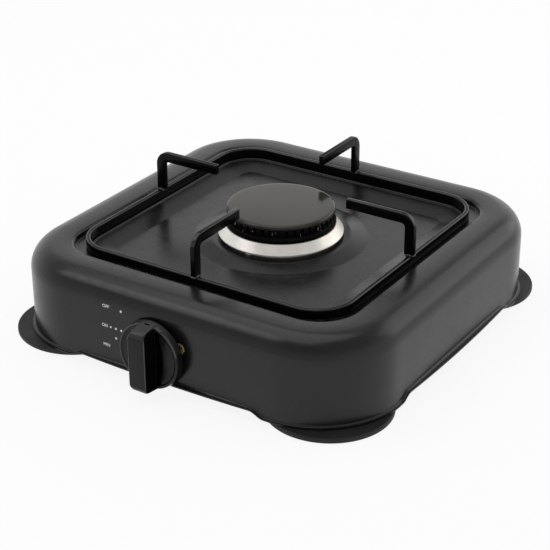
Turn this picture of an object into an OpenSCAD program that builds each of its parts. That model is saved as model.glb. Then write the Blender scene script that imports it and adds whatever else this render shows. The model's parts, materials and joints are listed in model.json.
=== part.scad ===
// Single-burner tabletop gas hob: deep-drawn sheet shell, lift-off pan
// support, burner with lift-off crown and cap, and a push-and-turn tap.
// Millimetres, +Z up, knob towards -Y. The origin is on the table, in the
// middle of the whole footprint.

/* [Body] */
// Width of the shell between two flat sides
body_w = 275; // [265:1:290]
// Plan radius of the shell's corners
corner_r = 57; // [52:1:62]
// Height of the flat rim above the table
rim_z = 62.5; // [61:0.5:68]
// Radius of the rolled edge between rim and side wall
roll_r = 16; // [10:0.5:20]
// Thickness of the drawn steel sheet
sheet_t = 1; // [0.8:0.1:1.2]
// Width of the out-turned lip at the bottom of the wall
lip_w = 2; // [1:0.1:3]
// Extra width of that lip in the middle of each side
lip_bow = 1.8; // [0.5:0.1:2]
// Rise of the bottom edge between two corner legs
edge_rise = 3.5; // [2:0.5:6]
// Distance from a flat side to the end of the raised stretch
leg_l = 71.5; // [68:0.5:78]

/* [Well] */
// Width of the square opening in the rim
opening_w = 215; // [212:1:220]
// Outer radius of the fold at the edge of the opening
fold_r = 2.5; // [2:0.1:3]
// Depth of the ledge below the rim
ledge_drop = 4.5; // [4:0.1:6]
// Width of the square inside the ledge
ledge_inner_w = 196; // [190:1:197]
// Small step below the ledge
step_h = 1.2; // [0.8:0.1:2]
// Width of the flat floor, where the sloping band ends
floor_w = 165; // [155:1:175]
// Depth of the floor below the ledge
floor_drop = 4.5; // [3:0.1:6]
// Radius of the raised burner seat at the floor
seat_r = 60; // [54:1:66]
// Height of the raised burner seat
seat_h = 2.5; // [1.5:0.1:4]

/* [Pan support] */
// Width of the square ring over its outer faces
ring_w = 204.8; // [202:0.2:208]
// Plan radius of the ring's outer corners
ring_r = 28; // [24:1:34]
// Thickness of the bar that the ring is bent from
bar_t = 3.2; // [2.8:0.1:4]
// Height of the ring's bar
ring_h = 7.2; // [6:0.1:9]
// Radial width of the arms' flat bar
arm_w = 7.2; // [6:0.1:8]
// Thickness of the arms' flat bar
arm_t = 3.4; // [3:0.1:5]
// Distance from the burner axis to the middle of a post
post_at = 100; // [98:0.5:101]
// Height of the pan surface above the rim
pan_rise = 31.9; // [28:0.1:40]
// Distance from the burner axis to an arm's tip
tip_r = 52; // [46:1:60]
// Outer radius of an arm's bend
bend_r = 10; // [8:0.5:12]

/* [Burner] */
// Diameter of the burner cap
cap_d = 74.4; // [70:0.2:80]
// Thickness of the cap at its edge
cap_t = 3.2; // [2.6:0.1:4]
// Height of the flame crown above its seat
crown_h = 8.6; // [7.5:0.1:11]
// Diameter of the crown at its foot
crown_d = 76; // [74:0.2:82]
// Number of flame ports in the crown
port_count = 42; // [36:1:46]
// Width of a flame port
port_w = 2.2; // [1.8:0.1:2.6]
// Height of a flame port
port_h = 4.8; // [4:0.1:6]
// Diameter of the bright cone below the crown, at its foot
cone_d = 86.2; // [84:0.2:90]
// Height of the bright cone
cone_h = 6.4; // [5:0.1:8]
// Gap between the cone's foot and the burner seat
cone_gap = 2.4; // [1.5:0.1:3]
// Wall of the crown, from its bore to its foot
crown_wall = 6; // [5:0.1:7]
// Wall of the burner's neck in the shell
neck_wall = 3; // [2.5:0.1:3.5]
// Outer diameter of the mixing tube
mix_d = 18; // [16:0.5:20]
// Wall of the mixing tube
mix_wall = 1.2; // [1:0.1:1.6]

/* [Tap and knob] */
// Sideways place of the knob and tap axis
tap_x = -5.5; // [-8:0.5:0]
// Height of the knob and tap axis
tap_z = 26.7; // [26:0.1:30]
// Diameter of the knob's skirt
knob_d = 46.6; // [42:0.2:48]
// Depth of the knob's skirt
knob_depth = 5.6; // [5:0.1:8]
// Distance from panel to knob at rest
knob_gap = 3; // [2.8:0.1:4]
// Travel of the knob when it is pushed
push = 2.2; // [1.5:0.1:2.3]
// Height of the grip bar above the skirt
grip_h = 12; // [9:0.5:14]
// Width of the grip bar
grip_w = 13; // [11:0.5:14]
// Length of the grip bar
grip_l = 43; // [38:1:44]
// Diameter of the spindle
spindle_d = 8; // [7:0.1:8]
// Radial running clearance of spindle and plug
run_gap = 0.05; // [0.03:0.01:0.08]
// Diameter of the tap body
tap_d = 22; // [20:0.5:25]
// Distance between the tap's two screws
tap_screw_gap = 27; // [25:0.5:29]

/* [Gas line] */
// Outer diameter of the gas tube
tube_d = 8; // [7:0.1:8.5]
// Wall of the gas tube
tube_wall = 1; // [0.8:0.1:1.2]
// Radius of the tube's bend, on its centre line
tube_bend = 18; // [16:1:24]
// Sideways place of the gas tube and hose nozzle
line_x = 48; // [46:1:52]
// Root diameter of the hose nozzle
nozzle_d = 8.6; // [8:0.1:9]
// Diameter over the nozzle's ridges
ridge_d = 10.4; // [10:0.1:11]
// Width of the slot for the hose in the rear wall
hose_slot = 26; // [22:1:30]

/* [Feet] */
// Diameter of a rubber foot
foot_d = 83.2; // [76:0.2:84]
// Thickness of a rubber foot below the shell
foot_t = 3.5; // [3:0.1:5]
// Distance of a foot's centre inside the flat sides
foot_inset = 37.5; // [37.5:0.5:40]
// Height of the corner plates above the feet
plate_rise = 4.5; // [4:0.5:6]

/* [Hidden] */

$fn = 96;
e = 0.01;                 // overlap of a cutter past a face
lift_gap = 0.3;           // gap between a lift-off piece and its seat
side_gap = 0.4;           // gap beside a spigot that lifts out
sit_gap = 0.05;           // radial gap of a fixed piece in its hole

half = body_w / 2;
mid = half - corner_r;                     // centre of the corner arcs
opening = opening_w / 2;
ledge_z = rim_z - ledge_drop;
ledge_in = ledge_inner_w / 2;
floor_z = ledge_z - floor_drop;
floor_half = floor_w / 2;
seat_z = floor_z + seat_h;                 // top of the burner seat
inner = half - sheet_t;                    // inner face of the side walls
panel_y = -half;                           // outer face of the front panel

ring_half = ring_w / 2;
ring_mid = ring_half - ring_r;             // centre of ring and well corners
ring_z = ledge_z + lift_gap;
ring_top = ring_z + ring_h;
pan_z = rim_z + pan_rise;
post_out = post_at + arm_w / 2;
post_in = post_at - arm_w / 2;

cone_z = seat_z + cone_gap;                // foot of the bright cone
crown_seat = cone_z + cone_h;              // face that the crown stands on
crown_z = crown_seat + lift_gap;
crown_top = crown_z + crown_h;
crown_in = crown_d / 2 - crown_wall;       // inner radius of the crown
cap_z = crown_top + lift_gap;
cup_in = crown_in - 1;                     // inner radius of the burner cup
neck_r = cup_in + neck_wall;
neck_hole = neck_r + 1;                    // hole in the shell for the neck
cup_depth = 13;                            // from the seat to the cup's bottom
cup_floor = seat_z - cup_depth;
cup_t = 3;                                 // thickness of the cup's bottom
elbow_r = 16;                              // chamber below the cup
elbow_wall = 3.5;
elbow_in = elbow_r - elbow_wall;
mix_r = mix_d / 2;
mix_back = 4.5 - elbow_in;                 // the tube's end inside the elbow
bell_r = mix_r + 4;
bell_l = 12;
base_screw_at = neck_r + 4;                // circle of the burner's screws

knob_back = panel_y - knob_gap;
knob_face = knob_back - knob_depth;        // front face of the skirt
grip_face = knob_face - grip_h;            // front face of the grip bar
grip_root = 1;                             // how far the bar starts inside the skirt
knob_clear = 1;                            // gap round the knob in the lip
knob_wall = 2.6;                           // wall of the skirt
knob_recess = 1.6;                         // hollow behind the skirt
hub_r = 7;                                 // hub round the spindle's flat end
spindle_r = spindle_d / 2;
spindle_flat = 3;                          // axis to the flat of the D
spindle_reach = 5;                         // from the skirt's face into the grip
spindle_tip = knob_face - spindle_reach;
push_fit = 0.02;                           // gap between the D and its socket
flange_t = 3;                              // tap flange
cover_t = 2;
cover_y = panel_y + sheet_t;               // cover lies on the panel's back
tap_y = cover_y + cover_t;                 // front face of the tap body
tap_r = tap_d / 2;
ear_r = 5;                                 // round ends of the tap's flange
chamber_r = 7.6;
chamber_l = 11.5;                          // spring chamber
plug_y = tap_y + chamber_l;                // front face of the plug
plug_r1 = 7;
plug_r2 = 5.5;
plug_l = 18;
port_y = plug_y + 11;                      // cross ports for the gas
port_r = 1.8;                              // port for the full flame
low_port_r = 0.6;                          // port for the low flame
inlet_r = 2.5;                             // gas way in the side boss
outlet_r = 3;                              // gas way to the injector
tap_end = plug_y + plug_l + 5;             // rear face of the tap body
mix_front = tap_end + 14;                  // mouth of the mixing tube
collar_y = tap_y + lift_gap;               // spindle collar
collar_t = 1.5;
collar_r = 6;
shank_r = 3.5;                             // spindle inside the plug
pin_y = plug_y + 5;
pin_r = 1;
pin_l = 10.6;
shank_end = pin_y + 4;
boss_x = tap_x + 18;                       // end of the tap's side boss
boss_r = 6.5;
nut_af = 17;                               // across flats of the boss's nut
nut_l = 13;
nut_grip = 5;                              // length of boss inside the nut
bypass_x = tap_x + 18.6;                   // screw that sets the low flame
bypass_z = tap_z + 7.2;
bypass_r = 1.5;
bypass_head = 2;
lug_l = 7;                                 // lug that takes this screw
eyelet_r = 3.7;
eyelet_in = 2.6;
eyelet_wall = 0.5;
eyelet_t = 0.4;                            // flange of the eyelet
spring_turns = 4.5;
spring_wire = 1;
spring_r = 5.4;                            // centre line of the wire

tube_r = tube_d / 2;
nozzle_tip = half + lip_w;
hex_af = 14;                               // across flats of nuts
hex_l = 6;                                 // length of the nozzle's hexagon
tip_l = 8;                                 // plain length at the nozzle's tip
ridge_pitch = 4;
ridge_count = 3;
ridges_y = nozzle_tip - tip_l - ridge_count * ridge_pitch + 1;
bracket_t = 1.5;
bracket_y = ridges_y - 1 - hex_l - bracket_t;  // front of the inlet bracket
inlet_screw_r = 5;                         // threaded end of the nozzle
inlet_nut_l = 5;
line_end = bracket_y - inlet_nut_l;        // end of the tube at the nozzle
strap_y = floor_half - 22.5;               // bracket that holds the tube

foot_r = foot_d / 2;
foot_at = half - foot_inset;               // feet from the burner axis
plate_z = foot_t + plate_rise;
plate_t = 1.5;
plate_w = 75.5;                            // corner plate from the flat sides
plate_from = half - plate_w;
m4 = 2;                                    // radius of an M4 screw
head_r = 4.2;                              // head of a foot's screw
head_h = 2.8;                              // depth of its recess in the foot

// The footprint runs from the grip bar to the rear feet.
axis_y = -(grip_face + foot_at + foot_r) / 2;

// Moves children from the burner axis to the part's own frame.
module on_axis() {
    translate([0, axis_y, 0]) children();
}

// Square outline of half width h with corner arcs of radius r.
module plan(h, r) {
    square([2 * h, 2 * (h - r)], center = true);
    square([2 * (h - r), 2 * h], center = true);
    for (x = [-1, 1], y = [-1, 1]) {
        translate([x * (h - r), y * (h - r)]) circle(r);
    }
}

// Sweeps a section round a square with corner centres at +-m. The
// section's X is the distance outside the line of those centres.
module round_square(m) {
    for (a = [0 : 90 : 270]) {
        rotate([0, 0, a]) {
            translate([m, m, 0]) rotate_extrude(angle = 90) children();
            translate([m, m, 0]) rotate([90, 0, 0]) linear_extrude(2 * m) children();
        }
    }
}

// Quarter of a ring, centre at the origin, in the quadrant (sx, sy).
module quarter_band(r_out, r_in, sx, sy) {
    intersection() {
        difference() {
            circle(r_out);
            circle(r_in);
        }
        translate([sx > 0 ? 0 : -r_out, sy > 0 ? 0 : -r_out]) square(r_out);
    }
}

edge_half = half - leg_l;                  // half of the raised stretch
leg_start = edge_half + 10;                // where the leg's straight edge starts

// Height of the shell's bottom edge at distance s from a side's middle.
function edge_z(s) =
    abs(s) <= edge_half ? foot_t + edge_rise :
    abs(s) >= leg_start ? foot_t :
    foot_t + edge_rise * (1 + cos(180 * (abs(s) - edge_half) / (leg_start - edge_half))) / 2;

edge_steps = concat(
    [-half - 10],
    [for (i = [0 : 6]) -leg_start + i * (leg_start - edge_half) / 6],
    [for (i = [0 : 6]) edge_half + i * (leg_start - edge_half) / 6],
    [half + 10]
);

// Band along the bottom edge: from its height plus lo to that plus hi.
module edge_band(lo, hi) {
    polygon(concat(
        [for (s = edge_steps) [s, edge_z(s) + lo]],
        [for (i = [len(edge_steps) - 1 : -1 : 0]) [edge_steps[i], edge_z(edge_steps[i]) + hi]]
    ));
}

// The same outline cut through all four sides.
module on_four_sides(from) {
    for (a = [0 : 90 : 270]) {
        rotate([0, 0, a]) translate([0, -from, 0]) rotate([90, 0, 0])
            linear_extrude(half + 12 - from) children();
    }
}

module shell_section() {
    u_wall = corner_r;
    u_fold = opening + fold_r - mid;
    translate([u_wall - sheet_t, foot_t]) square([sheet_t, rim_z - roll_r - foot_t]);
    translate([u_wall - roll_r, rim_z - roll_r]) quarter_band(roll_r, roll_r - sheet_t, 1, 1);
    translate([u_fold, rim_z - sheet_t]) square([u_wall - roll_r - u_fold, sheet_t]);
    translate([u_fold, rim_z - fold_r]) quarter_band(fold_r, fold_r - sheet_t, -1, 1);
    translate([u_fold - fold_r, ledge_z]) square([sheet_t, rim_z - fold_r - ledge_z]);
}

module well_section() {
    u_step = ledge_in - ring_mid;
    u_floor = floor_half - ring_mid;
    step_z = ledge_z - step_h;
    polygon([
        [u_step, ledge_z], [u_step, step_z], [u_floor, floor_z],
        [u_floor - 2, floor_z], [u_floor - 2, floor_z - sheet_t],
        [u_floor, floor_z - sheet_t], [u_step + sheet_t, step_z - sheet_t],
        [u_step + sheet_t, ledge_z]
    ]);
}

// Raised round seat of the burner, as a revolved section.
module seat_section() {
    seat_top = seat_r - 12;
    polygon([
        [neck_hole, seat_z], [seat_top, seat_z], [seat_r, floor_z],
        [seat_r + 2, floor_z], [seat_r + 2, floor_z - sheet_t],
        [seat_r - 0.5, floor_z - sheet_t], [seat_top - 0.5, seat_z - sheet_t],
        [neck_hole, seat_z - sheet_t]
    ]);
}

module lip() {
    bow_r = (pow(edge_half, 2) + pow(lip_bow, 2)) / (2 * lip_bow);
    intersection() {
        on_four_sides(mid) edge_band(0, sheet_t);
        linear_extrude(foot_t + edge_rise + 2 * sheet_t) difference() {
            union() {
                plan(half + lip_w, corner_r + lip_w);
                for (a = [0 : 90 : 270]) rotate(a) intersection() {
                    translate([0, half + lip_w + lip_bow - bow_r]) circle(bow_r, $fn = 720);
                    translate([-edge_half, half]) square([2 * edge_half, lip_w + lip_bow]);
                }
            }
            plan(inner, corner_r - sheet_t);
        }
    }
}

// Walls, rolled rim and the fold round the opening, with the out-turned
// lip, which is cut back behind the knob.
module body_shell() color([0.2, 0.2, 0.2]) on_axis() {
    past_lip = lip_w + lip_bow + 1;
    difference() {
        union() {
            difference() {
                round_square(mid) shell_section();
                on_four_sides(mid) edge_band(-foot_t - edge_rise, 0);
            }
            lip();
        }
        translate([tap_x, panel_y, tap_z]) rotate([90, 0, 0]) {
            cylinder(r = spindle_r + 1, h = 4 * sheet_t, center = true);
            cylinder(r = knob_d / 2 + knob_clear, h = past_lip);
            for (s = [-1, 1]) translate([s * tap_screw_gap / 2, 0, 0])
                cylinder(r = m4 + 0.2, h = 4 * sheet_t, center = true);
        }
        translate([bypass_x, panel_y, bypass_z]) rotate([90, 0, 0])
            cylinder(r = eyelet_in + eyelet_wall + sit_gap, h = 4 * sheet_t, center = true);
        translate([line_x, half - 3 * sheet_t, 0]) {
            translate([0, 0, tap_z]) rotate([-90, 0, 0])
                cylinder(d = hose_slot, h = 3 * sheet_t + past_lip);
            translate([-hose_slot / 2, 0, 0]) cube([hose_slot, 3 * sheet_t + past_lip, tap_z]);
        }
    }
}

// The well inside the rim: ledge, step, sloping band, floor and the
// raised seat of the burner.
module well_tray() color([0.2, 0.2, 0.2]) on_axis() {
    difference() {
        translate([0, 0, ledge_z - sheet_t]) linear_extrude(sheet_t)
            plan(opening + sheet_t, opening + sheet_t - mid);
        translate([0, 0, ledge_z - 2 * sheet_t]) linear_extrude(3 * sheet_t)
            plan(ledge_in, ledge_in - ring_mid);
    }
    round_square(ring_mid) well_section();
    difference() {
        translate([0, 0, floor_z - sheet_t]) linear_extrude(sheet_t)
            plan(floor_half - 1, floor_half - 1 - ring_mid);
        translate([0, 0, floor_z - 2 * sheet_t]) cylinder(r = seat_r + 1, h = 3 * sheet_t);
    }
    difference() {
        rotate_extrude() seat_section();
        for (a = [30 : 120 : 270]) rotate([0, 0, a])
            translate([base_screw_at, 0, seat_z - 2 * sheet_t])
                cylinder(r = m4 + sit_gap, h = 3 * sheet_t);
    }
}

module corner_plates() color([0.55, 0.56, 0.58]) on_axis() {
    for (x = [-1, 1], y = [-1, 1]) {
        difference() {
            translate([0, 0, plate_z]) linear_extrude(plate_t) intersection() {
                plan(inner - sit_gap, corner_r - sheet_t - sit_gap);
                translate([x * (plate_from + half) / 2, y * (plate_from + half) / 2])
                    square(half - plate_from, center = true);
            }
            translate([x * foot_at, y * foot_at, plate_z - 1]) cylinder(r = m4 + sit_gap, h = plate_t + 2);
        }
    }
}

// Rubber foot with a raised boss and a recess for its screw's head.
module rubber_foot(x, y) {
    color([0.1, 0.1, 0.1]) on_axis() translate([x * foot_at, y * foot_at, 0]) difference() {
        union() {
            rotate_extrude() {
                square([foot_r - 1, foot_t]);
                translate([0, 1]) square([foot_r, foot_t - 2]);
                translate([foot_r - 1, 1]) circle(1);
                translate([foot_r - 1, foot_t - 1]) circle(1);
            }
            cylinder(r = 12, h = plate_z);
        }
        translate([0, 0, -1]) cylinder(r = head_r + 0.4, h = head_h + 1);
        translate([0, 0, -1]) cylinder(r = m4 + sit_gap, h = plate_z + 2);
    }
}

module foot_front_left() rubber_foot(-1, -1);
module foot_front_right() rubber_foot(1, -1);
module foot_back_left() rubber_foot(-1, 1);
module foot_back_right() rubber_foot(1, 1);

module foot_screws() color([0.7, 0.7, 0.72]) on_axis() {
    for (x = [-1, 1], y = [-1, 1]) translate([x * foot_at, y * foot_at, 0]) {
        difference() {
            translate([0, 0, 0.6]) cylinder(r = head_r, h = head_h - 0.6);
            translate([-3, -0.5, 0]) cube([6, 1, 1.4]);
            translate([-0.5, -3, 0]) cube([1, 6, 1.4]);
        }
        translate([0, 0, head_h - 0.1]) cylinder(r = m4, h = plate_z + plate_t + 4 - head_h);
    }
}

module hex_nut(af, h, r) {
    difference() {
        cylinder(d = af / cos(30), h = h, $fn = 6);
        translate([0, 0, -1]) cylinder(r = r, h = h + 2);
    }
}

module foot_nuts() color([0.7, 0.7, 0.72]) on_axis() {
    for (x = [-1, 1], y = [-1, 1]) translate([x * foot_at, y * foot_at, plate_z + plate_t])
        hex_nut(7, 3.2, m4 + sit_gap);
}

module pan_ring() color([0.05, 0.05, 0.05]) on_axis() {
    edge_r = 0.8;
    u_out = ring_half - ring_mid;
    round_square(ring_mid) {
        translate([u_out - bar_t, ring_z + edge_r]) square([bar_t, ring_h - 2 * edge_r]);
        translate([u_out - bar_t + edge_r, ring_z]) square([bar_t - 2 * edge_r, ring_h]);
        for (x = [u_out - bar_t + edge_r, u_out - edge_r], z = [ring_z + edge_r, ring_top - edge_r]) {
            translate([x, z]) circle(edge_r);
        }
    }
}

// One arm: a post welded on the ring, a bend and a flat run to the tip.
module pan_arm(turn) {
    bend_in = bend_r - arm_w;
    bend_x = post_out - bend_r;
    bend_z = pan_z - bend_r;
    weld = 2.4;
    color([0.05, 0.05, 0.05]) on_axis() rotate([0, 0, turn]) {
        translate([0, arm_t / 2, 0]) rotate([90, 0, 0]) linear_extrude(arm_t) {
            translate([post_in, ring_top]) square([arm_w, bend_z - ring_top]);
            translate([bend_x, bend_z]) quarter_band(bend_r, bend_in, 1, 1);
            translate([tip_r, pan_z - arm_w]) square([bend_x - tip_r, arm_w]);
        }
        translate([ring_half - bar_t, 0, ring_top]) rotate([90, 0, 0])
            linear_extrude(arm_t + 1, center = true) polygon([[0, 0], [-weld, 0], [0, -weld]]);
    }
}

module pan_arm_right() pan_arm(0);
module pan_arm_back() pan_arm(90);
module pan_arm_left() pan_arm(180);
module pan_arm_front() pan_arm(270);

// Burner base: the bright cone, its shoulder and the cup below it.
module burner_base() color([0.8, 0.8, 0.82]) on_axis() {
    crown_foot = crown_d / 2 + 0.2;
    cone_r = cone_d / 2;
    shoulder_r = cone_r - 3.6;
    slope_in = 4;                          // 45 degree slope inside the cup
    slope_out = slope_in + 1;              // and the one outside it
    cup_bottom = cup_floor - cup_t;
    difference() {
        union() {
            rotate_extrude() polygon([
                [cup_in, crown_seat], [crown_foot, crown_seat], [cone_r, cone_z + 0.6], [cone_r, cone_z],
                [cone_r - 1.5, cone_z], [shoulder_r, cone_z + 1.2], [shoulder_r, seat_z],
                [neck_r, seat_z], [neck_r, cup_bottom + slope_out], [neck_r - slope_out, cup_bottom],
                [elbow_in, cup_bottom], [elbow_in, cup_floor],
                [cup_in - slope_in, cup_floor], [cup_in, cup_floor + slope_in]
            ]);
            for (a = [30 : 120 : 270]) rotate([0, 0, a])
                translate([base_screw_at, 0, seat_z]) cylinder(r = 3.2, h = cone_gap + 2);
        }
        for (a = [30 : 120 : 270]) rotate([0, 0, a])
            translate([base_screw_at, 0, seat_z - 1]) cylinder(r = m4 + sit_gap, h = 5);
    }
}

// Elbow below the cup, with the socket that takes the mixing tube.
module burner_elbow() color([0.8, 0.8, 0.82]) on_axis() {
    bottom = tap_z - elbow_in;
    socket_l = 10;
    difference() {
        union() {
            translate([0, 0, bottom]) cylinder(r = elbow_r, h = cup_floor - cup_t - bottom);
            translate([tap_x, 0, tap_z]) rotate([90, 0, 0])
                cylinder(r = mix_r + 2.5, h = elbow_r + socket_l);
        }
        translate([0, 0, bottom + 2.5]) cylinder(r = elbow_in, h = cup_floor);
        translate([tap_x, 0, tap_z]) rotate([90, 0, 0])
            cylinder(r = mix_r + sit_gap, h = elbow_r + socket_l + 1);
    }
}

module burner_screws() color([0.7, 0.7, 0.72]) on_axis() {
    for (a = [30 : 120 : 270]) rotate([0, 0, a]) translate([base_screw_at, 0, 0]) {
        translate([0, 0, seat_z - sheet_t - 2.2]) difference() {
            cylinder(r = 2.9, h = 2.2);
            translate([-2.2, -0.4, -1]) cube([4.4, 0.8, 2]);
            translate([-0.4, -2.2, -1]) cube([0.8, 4.4, 2]);
        }
        translate([0, 0, seat_z - sheet_t - 0.5]) cylinder(r = m4, h = 4);
    }
}

module mixing_tube() color([0.62, 0.63, 0.65]) on_axis() {
    throat = mix_r - mix_wall;
    l = mix_back - mix_front;
    translate([tap_x, mix_front, tap_z]) rotate([-90, 0, 0]) difference() {
        union() {
            cylinder(r1 = bell_r, r2 = mix_r, h = bell_l);
            cylinder(r = mix_r, h = l);
            cylinder(r = bell_r + 0.8, h = 1.2);
        }
        translate([0, 0, -e]) cylinder(r1 = bell_r - mix_wall, r2 = throat, h = bell_l);
        translate([0, 0, -1]) cylinder(r = throat, h = l + 2);
    }
}

module burner_crown() color([0.07, 0.07, 0.07]) on_axis() {
    top_r = crown_d / 2 - 1.4;
    foot_r1 = crown_d / 2;
    spigot = cup_in - side_gap;
    spigot_in = spigot - 2;
    spigot_z = crown_z - 4;
    port_z = crown_top - port_h + port_w / 2;
    port_l = crown_wall + 2;
    difference() {
        rotate_extrude() polygon([
            [spigot_in, spigot_z], [spigot, spigot_z], [spigot, crown_z],
            [foot_r1, crown_z], [foot_r1, crown_z + 1.5], [top_r, crown_top],
            [crown_in, crown_top], [crown_in, crown_z + 1], [spigot_in, crown_z + 1]
        ]);
        for (i = [0 : port_count - 1]) rotate([0, 0, 360 * i / port_count]) {
            translate([crown_in - 1, -port_w / 2, port_z]) cube([port_l, port_w, port_h]);
            translate([crown_in - 1, 0, port_z]) rotate([0, 90, 0])
                cylinder(d = port_w, h = port_l, $fn = 24);
        }
    }
}

module burner_cap() color([0.04, 0.04, 0.04]) on_axis() {
    cap_r = cap_d / 2;
    top_edge = 1.5;
    low_edge = 0.9;
    rim_out = crown_in - side_gap - 0.2;
    rim_t = 2;
    rim_l = 4;
    rotate_extrude() {
        translate([0, cap_z]) square([cap_r - top_edge, cap_t]);
        translate([cap_r - top_edge, cap_z + cap_t - top_edge]) circle(top_edge);
        translate([0, cap_z + low_edge]) square([cap_r, cap_t - top_edge - low_edge]);
        translate([cap_r - low_edge, cap_z + low_edge]) circle(low_edge);
        translate([0, cap_z]) square([cap_r - low_edge, low_edge]);
        translate([rim_out - rim_t, cap_z - rim_l]) square([rim_t, rim_l + cap_t / 2]);
    }
}

// D-shaped prism along -Y: a round bar with one flat on its upper side.
module d_bar(r, flat, l) {
    rotate([90, 0, 0]) intersection() {
        cylinder(r = r, h = l);
        translate([-r - 1, -r - 1, -1]) cube([2 * r + 2, r + 1 + flat, l + 2]);
    }
}

// Knob: a tapered skirt with a grip bar, a finger pocket on each side of
// the bar and a pointer notch in the rim.
module knob() color([0.12, 0.12, 0.12]) on_axis() translate([tap_x, 0, tap_z]) {
    r = knob_d / 2;
    front_r = r - 0.6;                     // the skirt narrows to its front
    edge_r = 1;
    scoop_depth = 2.6;
    notch_w = 5;
    notch_l = 2.2;
    notch_t = 1.2;
    difference() {
        union() {
            translate([0, knob_back, 0]) rotate([90, 0, 0]) rotate_extrude() {
                polygon([
                    [0, 0], [r, 0], [front_r, knob_depth - edge_r],
                    [front_r - edge_r, knob_depth - edge_r], [front_r - edge_r, knob_depth],
                    [0, knob_depth]
                ]);
                translate([front_r - edge_r, knob_depth - edge_r]) circle(edge_r);
            }
            translate([0, knob_face + grip_root, 0]) intersection() {
                translate([-grip_w / 2, 0, 0]) rotate([0, 90, 0]) linear_extrude(grip_w) grip_side();
                rotate([90, 0, 0]) linear_extrude(grip_h + grip_root) grip_front();
            }
        }
        translate([0, knob_face + scoop_depth, 0]) rotate([90, 0, 0]) linear_extrude(scoop_depth + e) {
            scoop();
            mirror([1, 0]) scoop();
        }
        translate([0, knob_back + e, 0]) rotate([90, 0, 0]) difference() {
            cylinder(r = r - knob_wall, h = knob_recess + e);
            translate([0, 0, -1]) cylinder(r = hub_r, h = knob_recess + 2);
        }
        translate([0, knob_back + e, 0])
            d_bar(spindle_r + push_fit, spindle_flat + push_fit, knob_back - spindle_tip + lift_gap);
        translate([0, knob_face + notch_t, 0]) rotate([90, 0, 0]) linear_extrude(notch_t + e)
            polygon([[0, r - notch_l], [notch_w / 2, r + e], [-notch_w / 2, r + e]]);
    }
}

// Side view of the grip bar, with X along -Z and Y along +Y.
module grip_side() {
    h = grip_h + grip_root;
    nose = 5;
    l = grip_l / 2;
    translate([-l, -h + nose]) square([grip_l, h - nose]);
    translate([-l + nose, -h]) square([grip_l - 2 * nose, h]);
    for (s = [-1, 1]) translate([s * (l - nose), -h + nose]) circle(nose);
}

// Front view of the grip bar, with round corners.
module grip_front() {
    corner = 3.5;
    square([grip_w - 2 * corner, grip_l], center = true);
    square([grip_w, grip_l - 2 * corner], center = true);
    for (x = [-1, 1], y = [-1, 1]) {
        translate([x * (grip_w / 2 - corner), y * (grip_l / 2 - corner)]) circle(corner);
    }
}

// Outline of the finger pocket on one side of the grip bar: a half moon.
module scoop() {
    w = 5.4;
    l = grip_l / 2 - 1.5;
    r = (w * w + l * l) / (2 * w);
    translate([grip_w / 2, 0]) intersection() {
        translate([w - r, 0]) circle(r);
        translate([0, -l]) square([w, 2 * l]);
    }
}

// Ring that keeps the hub's slit closed on the spindle.
module knob_ring() color([0.7, 0.7, 0.72]) on_axis() {
    translate([tap_x, knob_back, tap_z]) rotate([90, 0, 0]) difference() {
        cylinder(r = hub_r + 0.7, h = knob_recess - 0.2);
        translate([0, 0, -1]) cylinder(r = hub_r + sit_gap, h = knob_recess + 2);
    }
}

module spindle() color([0.78, 0.72, 0.5]) on_axis() translate([tap_x, 0, tap_z]) {
    flat_from = knob_back + 1;
    difference() {
        union() {
            translate([0, collar_y + e, 0]) rotate([90, 0, 0])
                cylinder(r = spindle_r, h = collar_y - flat_from);
            translate([0, flat_from + e, 0]) d_bar(spindle_r, spindle_flat, flat_from - spindle_tip);
            translate([0, collar_y + collar_t, 0]) rotate([90, 0, 0]) cylinder(r = collar_r, h = collar_t);
            translate([0, shank_end, 0]) rotate([90, 0, 0])
                cylinder(r = shank_r, h = shank_end - collar_y - e);
        }
        translate([0, pin_y, 0]) rotate([0, 90, 0]) cylinder(r = pin_r + sit_gap, h = 20, center = true);
    }
}

// Cross pin that turns the plug and slides in the plug's slot.
module spindle_pin() color([0.7, 0.7, 0.72]) on_axis()
    translate([tap_x, pin_y, tap_z]) rotate([0, 90, 0]) cylinder(r = pin_r, h = pin_l, center = true);

// Tapered plug. Turned a quarter from rest, its full port meets the side
// boss, and turned a half its low port does.
module tap_plug() color([0.8, 0.66, 0.3]) on_axis() translate([tap_x, plug_y, tap_z]) {
    slot_w = 2 * pin_r + 4 * run_gap;
    slot_l = pin_y - plug_y + pin_r + push + lift_gap;
    bore_l = shank_end - plug_y + push + lift_gap;
    difference() {
        rotate([-90, 0, 0]) cylinder(r1 = plug_r1, r2 = plug_r2, h = plug_l);
        translate([0, -1, 0]) rotate([-90, 0, 0]) cylinder(r = shank_r + run_gap, h = bore_l + 1);
        translate([-plug_r1 - 1, -1, -slot_w / 2]) cube([2 * plug_r1 + 2, slot_l + 1, slot_w]);
        translate([0, port_y - plug_y, 0]) {
            rotate([180, 0, 0]) cylinder(r = port_r, h = 2 * plug_r1);
            rotate([0, -90, 0]) cylinder(r = low_port_r, h = 2 * plug_r1);
            rotate([-90, 0, 0]) cylinder(r = port_r, h = plug_l);
        }
    }
}

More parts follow.
